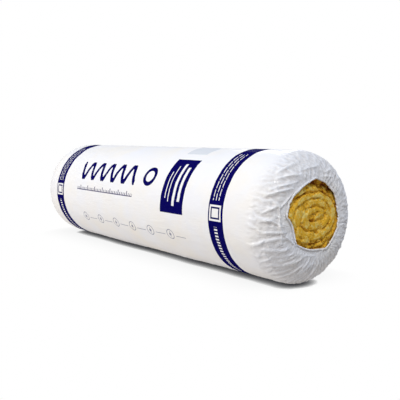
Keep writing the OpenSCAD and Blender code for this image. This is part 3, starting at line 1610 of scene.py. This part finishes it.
        # The mask of painted shade and highlight is carried over the middle of each end.
        piece.data.attributes.new("hollow", "FLOAT", "POINT").data.foreach_set("value", hollow * blend)
        # The strands follow the turns round the eye.
        off = places - np.where(top[:, None], self.top_end.eye, self.foot_end.eye)
        way = np.arctan2(off[:, 1], off[:, 0])
        depth = np.hypot(off[:, 0], off[:, 1]) / 2.6 + settled / 2.6
        lay = np.column_stack([np.cos(way) * 6.0, np.sin(way) * 6.0, depth])
        piece.data.attributes.new("lay", "FLOAT_VECTOR", "POINT").data.foreach_set("vector", lay.ravel())
        close_piece(piece)
        piece.data.update()
        return piece

    def dress(self, piece: bpy.types.Object) -> None:
        """Gives the wool its material and its place in the frame.

        Args:
            piece: The wool.
        """
        piece.data.materials.clear()
        piece.data.materials.append(self.finish.material())
        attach(piece, "root")
        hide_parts("wool_roll")


@dataclass(frozen=True)
class WhiteGround:
    """White ground that shows the shadow of what lies on it, and can't be seen from behind.

    Attributes:
        name: Name of the material.
        reach: How far the near shadow reaches, in metres.
        falloff: Power of the near shadow's falloff.
        bounce: Whether the ground throws light back at the roll.
        wide: How many times as far the wide shadow reaches.
        kept: Share of the light that the wide shadow leaves.
        darkest: Colour in the deepest shadow.
        thrown: Colour of the light that is thrown back.
        thin: Share of the light that goes through instead.
    """

    name: str
    reach: float
    falloff: float
    bounce: bool
    wide: float = 6.0
    kept: float = 0.72
    darkest: Colour = (0.025, 0.025, 0.03, 1.0)
    thrown: Colour = (0.64, 0.6, 0.56, 1.0)
    thin: float = 0.45

    def shadow(self, desk: NodeDesk, lean: Vector) -> Wire:
        """Adds the shadow, which is close and dark at the roll and wide and faint on one side.

        Args:
            desk: Node tree of the ground.
            lean: Direction that the wide shadow falls away from.

        Returns:
            The light that is left, from 0 to 1.
        """
        kind = "ShaderNodeAmbientOcclusion"
        near = desk.node(kind, {"samples": 12}, Distance=self.reach, out="AO")
        side = desk.node("ShaderNodeCombineXYZ", {}, *lean)
        far = desk.node(kind, {"samples": 16}, Distance=self.reach * self.wide, Normal=side, out="AO")
        return near**self.falloff * (self.kept + (1.0 - self.kept) * far)

    def material(self, lean: Vector) -> bpy.types.Material:
        """Builds the ground's material.

        Args:
            lean: Direction that the wide shadow falls away from.

        Returns:
            The material.
        """
        made = bpy.data.materials.new(self.name)
        desk = NodeDesk(made)
        shade = desk.mix(self.shadow(desk, lean), self.darkest, PLAIN_WHITE)
        shown = desk.node("ShaderNodeEmission", {}, shade, 1.0)
        clear = desk.node("ShaderNodeBsdfTransparent", {})
        other = clear
        if self.bounce:
            matt = desk.node("ShaderNodeBsdfDiffuse", {}, self.thrown)
            other = desk.node("ShaderNodeMixShader", {}, self.thin, matt, clear)
        front = desk.node("ShaderNodeMixShader", {}, desk.white_rays(), other, shown)
        behind = desk.node("ShaderNodeNewGeometry", {}, out="Backfacing")
        shadow = desk.node("ShaderNodeLightPath", {}, out="Is Shadow Ray")
        desk.close(desk.node("ShaderNodeMixShader", {}, behind | shadow, front, clear))
        return made


@dataclass(frozen=True)
class Lamp:
    """A soft round area lamp.

    Attributes:
        name: Name of the lamp.
        place: Its place round the middle of the lying roll, in millimetres.
        target: What it shines at, likewise.
        power: Power in watts.
        size: Width of the lamp in metres.
        colour: Colour of its light.
    """

    name: str
    place: Point
    target: Point
    power: float
    size: float
    colour: Point


@dataclass
class Studio:
    """Camera, lamps and white ground, placed as round the roll where it lies.

    Attributes:
        sizes: Sizes of the roll.
        eye: Place of the camera from the middle of the lying roll, in millimetres.
        look: Direction of the camera as the roll lies.
        lens: Focal length, in millimetres.
        sensor: Width of the camera's sensor, in millimetres.
        clip: Nearest and farthest distance that the camera sees, in metres.
        ambient: Strength of the light from all round.
        bright_side: Direction from which more of that light comes, as the roll lies.
        bright_share: Share of that light that is even, and share that comes from that side.
        cool_side: Direction from which that light is cooler, likewise.
        warm_tint: Colour of that light on the warm side.
        cool_tint: Colour of that light on the cool side.
        shadow_lean: Direction that the wide shadow on the ground falls away from, likewise.
        ground: Finish of the ground that the roll lies on in the photograph.
        ground_size: Side of that ground, in metres.
        ground_gap: Room between the roll and that ground, in metres.
        floor: Finish of the floor that the roll stands on.
        floor_radius: Radius of that floor, in metres.
        floor_gap: Room between the roll and that floor, in metres.
        lamps: The lamps.
    """

    sizes: RollSizes
    eye: Point = (1506.4, -1117.8, 207.6)
    look: Point = (-0.7677, 0.6311, -0.1114)
    lens: float = 51.45
    sensor: float = 36.0
    clip: Place = (0.05, 60.0)
    ambient: float = 0.43
    bright_side: Point = (-0.36, -0.5, 0.7)
    bright_share: Place = (0.76, 0.5)
    cool_side: Point = (0.5, 0.4, 0.77)
    warm_tint: Colour = (1.03, 0.965, 0.91, 1.0)
    cool_tint: Colour = (0.88, 0.97, 1.12, 1.0)
    shadow_lean: Point = (0.88, -0.42, 0.22)
    ground: WhiteGround = WhiteGround("white_ground", 0.0185, 1.5, True)
    ground_size: float = 9.0
    ground_gap: float = 0.003
    floor: WhiteGround = WhiteGround("white_floor", 0.012, 0.8, False)
    floor_radius: float = 0.1
    floor_gap: float = 0.0005
    lamps: tuple[Lamp, ...] = (
        Lamp("key", (-2100.0, -4000.0, 900.0), (0.0, 0.0, 0.0), 81.0, 1.0, (1.0, 0.982, 0.935)),
        Lamp("top", (2500.0, -2250.0, 3800.0), (400.0, 0.0, 0.0), 99.0, 0.8, (0.975, 0.98, 0.985)),
        Lamp("back", (-3000.0, 3500.0, 2000.0), (0.0, 0.0, 0.0), 68.0, 1.4, (1.0, 0.99, 0.98)),
        Lamp("cool", (3100.0, 300.0, 4300.0), (600.0, 0.0, 100.0), 15.0, 1.2, (0.55, 0.82, 1.3)),
        Lamp("under", (-600.0, -900.0, -4600.0), (0.0, 0.0, 0.0), 40.0, 1.6, (1.0, 0.985, 0.97)),
    )

    def turned(self, way: Point) -> Vector:
        """Turns a direction of the lying roll into the frame of the standing one."""
        return Vector((-way[2], way[1], way[0]))

    def placed(self, place: Point) -> Vector:
        """Turns a place round the middle of the lying roll, in millimetres, into the frame."""
        return (self.turned(place) + Vector((0.0, 0.0, self.sizes.half))) * MM

    def aimed(self, place: Point, look: Vector, up: Point) -> Matrix:
        """Gives the matrix of a lamp or camera.

        Args:
            place: Its place round the lying roll, in millimetres.
            look: Direction it looks in, in the frame.
            up: Upward direction of the lying roll.

        Returns:
            The matrix.
        """
        right = look.cross(self.turned(up)).normalized()
        rise = right.cross(look).normalized()
        frame = Matrix((right, rise, -look)).transposed().to_4x4()
        frame.translation = self.placed(place)
        return frame

    def add_camera(self) -> None:
        """Adds the camera at the photograph's place."""
        bpy.ops.object.camera_add()
        made = bpy.context.object
        made.name = "view_camera"
        made.data.lens = self.lens
        made.data.sensor_width = self.sensor
        made.data.clip_start, made.data.clip_end = self.clip
        made.matrix_world = self.aimed(self.eye, self.turned(self.look).normalized(), (0.0, 0.0, 1.0))
        bpy.context.scene.camera = made

    def add_lamp(self, lamp: Lamp) -> None:
        """Adds a lamp.

        Args:
            lamp: What the lamp is like.
        """
        bpy.ops.object.light_add(type="AREA")
        made = bpy.context.object
        made.name = lamp.name
        made.data.energy = lamp.power
        made.data.shape = "DISK"
        made.data.size = lamp.size
        made.data.color = lamp.colour
        look = (self.placed(lamp.target) - self.placed(lamp.place)).normalized()
        made.matrix_world = self.aimed(lamp.place, look, (0.1, 0.2, 1.0))

    def add_grounds(self) -> None:
        """Adds the ground that the roll lies on in the photograph and the floor that it stands on."""
        lean = self.turned(self.shadow_lean)
        bpy.ops.mesh.primitive_plane_add(
            size=self.ground_size,
            location=(self.sizes.radius * MM + self.ground_gap, 0.0, 0.6),
            rotation=(0.0, -math.pi / 2, 0.0),
        )
        ground = bpy.context.object
        ground.name = "ground_beside"
        ground.data.materials.append(self.ground.material(lean))
        bpy.ops.mesh.primitive_circle_add(
            vertices=64,
            radius=self.floor_radius,
            fill_type="NGON",
            location=(0.0, 0.0, -self.floor_gap),
        )
        floor = bpy.context.object
        floor.name = "floor"
        floor.data.materials.append(self.floor.material(lean))

    def add_sky(self) -> None:
        """Fills the world with soft light, shown as plain white behind the roll."""
        world = bpy.data.worlds.new("soft_room")
        bpy.context.scene.world = world
        desk = NodeDesk(world)
        way = desk.node("ShaderNodeTexCoord", {}, out="Generated")
        bright, cool = (
            desk.node("ShaderNodeVectorMath", {"operation": "DOT_PRODUCT"}, way, side, out="Value")
            for side in (self.turned(self.bright_side), self.turned(self.cool_side))
        )
        even, more = self.bright_share
        tint = desk.mix(cool * 0.5 + 0.5, self.warm_tint, self.cool_tint)
        light = desk.node("ShaderNodeBackground", {}, tint, (even + bright * more) * self.ambient)
        shown = desk.node("ShaderNodeBackground", {}, PLAIN_WHITE, 1.0)
        mixed = desk.node("ShaderNodeMixShader", {}, desk.white_rays(), light, shown)
        desk.close(mixed, "ShaderNodeOutputWorld")

    def build(self) -> None:
        """Sets up the whole studio."""
        bpy.context.scene.view_settings.view_transform = "Standard"
        self.add_camera()
        self.add_sky()
        self.add_grounds()
        for lamp in self.lamps:
            self.add_lamp(lamp)


def main() -> None:
    """Builds the roll in the shared frame and reports each piece."""
    logging.basicConfig(level=logging.INFO, format="%(message)s")
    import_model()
    sizes = RollSizes()
    Studio(sizes).build()
    film = FilmSleeve(sizes, FilmFinish())
    wool = WoolRoll(sizes, WoolFinish(), film)
    wool_piece = wool.build()
    wool.dress(wool_piece)
    LOG.info("wool: %d faces", len(wool_piece.data.polygons))
    film_piece = film.build()
    film.dress(film_piece)
    LOG.info("film: %d faces", len(film_piece.data.polygons))


if __name__ == "__main__":
    main()
